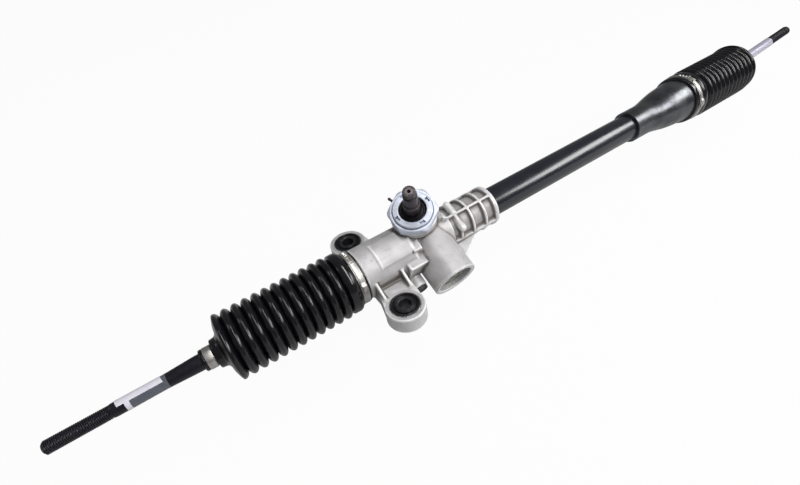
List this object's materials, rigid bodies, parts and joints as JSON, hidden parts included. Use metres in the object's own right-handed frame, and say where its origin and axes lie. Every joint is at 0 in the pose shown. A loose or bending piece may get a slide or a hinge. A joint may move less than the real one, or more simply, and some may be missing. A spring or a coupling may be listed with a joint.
{
  "type": "rack and pinion steering gear",
  "caption": "Manual steering rack with helical pinion, cast pinion housing with two bushed lugs, long rack tube, bellows boots and swinging tie rods with threaded ends.",
  "frame": {"origin": "midway between the axes of the two mounting bolt holes, on the lower clamping face of their bush sleeves; the rack axis lies 24.5 mm above it", "axes": "+X along the rack from the pinion end to the plain tube end, +Y to the rear lug, +Z along the mounting bolts on the pinion's side"},
  "size_m": [1.0505, 0.1524, 0.1262],
  "materials": {
    "housing_cast": "die cast, fine satin grain",
    "bush_steel": "plain turned steel",
    "bush_rubber": "moulded, satin",
    "cap_rubber": "moulded, matt",
    "tube_paint": "gloss black paint",
    "sleeve_paint": "satin dark grey paint",
    "bearing_plastic": "machined bearing plastic",
    "spring_steel": "oiled spring steel",
    "bearing_steel": "ground steel",
    "zinc_plate": "bright zinc plate, cool tint",
    "seal_rubber": "moulded, satin",
    "yoke_alloy": "machined",
    "boot_rubber": "moulded thermoplastic rubber, semi gloss",
    "clamp_steel": "rolled stainless band",
    "rack_steel": "ground and greased",
    "joint_steel": "phosphated steel",
    "pinion_steel": "oiled, heat darkened",
    "rod_paint": "satin black coating"
  },
  "bodies": {
    "gear_housing": {"pinion_housing": "housing_cast", "front_bush_shell": "bush_steel", "front_bush_rubber": "bush_rubber", "front_bush_sleeve": "bush_steel", "rear_bush_shell": "bush_steel", "rear_bush_rubber": "bush_rubber", "rear_bush_sleeve": "bush_steel", "side_boss_cap": "cap_rubber", "tower_pin": "pinion_steel", "rack_tube": "tube_paint", "tube_end_sleeve": "sleeve_paint", "rack_bush": "bearing_plastic", "bush_retaining_ring": "spring_steel", "bearing_outer_race": "bearing_steel", "bearing_ball_cage": "bearing_steel", "needle_bush": "bearing_steel", "pinion_bore_cap": "bearing_steel", "pinion_plug": "zinc_plate", "pinion_seal": "seal_rubber", "pinion_lock_nut": "zinc_plate", "support_yoke": "yoke_alloy", "yoke_liner": "bearing_plastic", "yoke_spring": "spring_steel", "yoke_o_ring": "seal_rubber", "yoke_plug": "zinc_plate", "left_boot": "boot_rubber", "right_boot": "boot_rubber", "left_large_clamp": "clamp_steel", "right_large_clamp": "clamp_steel"},
    "rack_assembly": {"rack_bar": "rack_steel", "left_ball_socket": "joint_steel", "left_lock_washer": "spring_steel", "left_ball_seat": "bearing_plastic", "right_ball_socket": "joint_steel", "right_lock_washer": "spring_steel", "right_ball_seat": "bearing_plastic"},
    "pinion_assembly": {"pinion_shaft": "pinion_steel", "bearing_inner_race": "bearing_steel", "bearing_snap_ring": "spring_steel"},
    "left_rod": {"left_tie_rod": "rod_paint", "left_small_clamp": "clamp_steel"},
    "right_rod": {"right_tie_rod": "rod_paint", "right_small_clamp": "clamp_steel"}
  },
  "joints": [
    {"name": "rack_slide", "type": "slide", "parent": "gear_housing", "child": "rack_assembly", "axis": [1, 0, 0], "range_m": [-0.055, 0.055], "deforming": ["left_boot", "right_boot"]},
    {"name": "pinion_spin", "type": "hinge", "parent": "gear_housing", "child": "pinion_assembly", "pos_m": [0.063, 0.01429, 0.03065], "axis": [-0.236, -0.3844, 0.8925], "range_deg": [-455, 455]},
    {"name": "left_rod_swing", "type": "hinge", "parent": "rack_assembly", "child": "left_rod", "pos_m": [-0.113, 0, 0.0245], "axis": [0, 1, 0], "range_deg": [-20, 20]},
    {"name": "right_rod_swing", "type": "hinge", "parent": "rack_assembly", "child": "right_rod", "pos_m": [0.5584, 0, 0.0245], "axis": [0, 1, 0], "range_deg": [-17, 23]}
  ],
  "couplings": [
    {"joint": "pinion_spin", "follows": "rack_slide", "rad_per_m": 142.86}
  ]
}
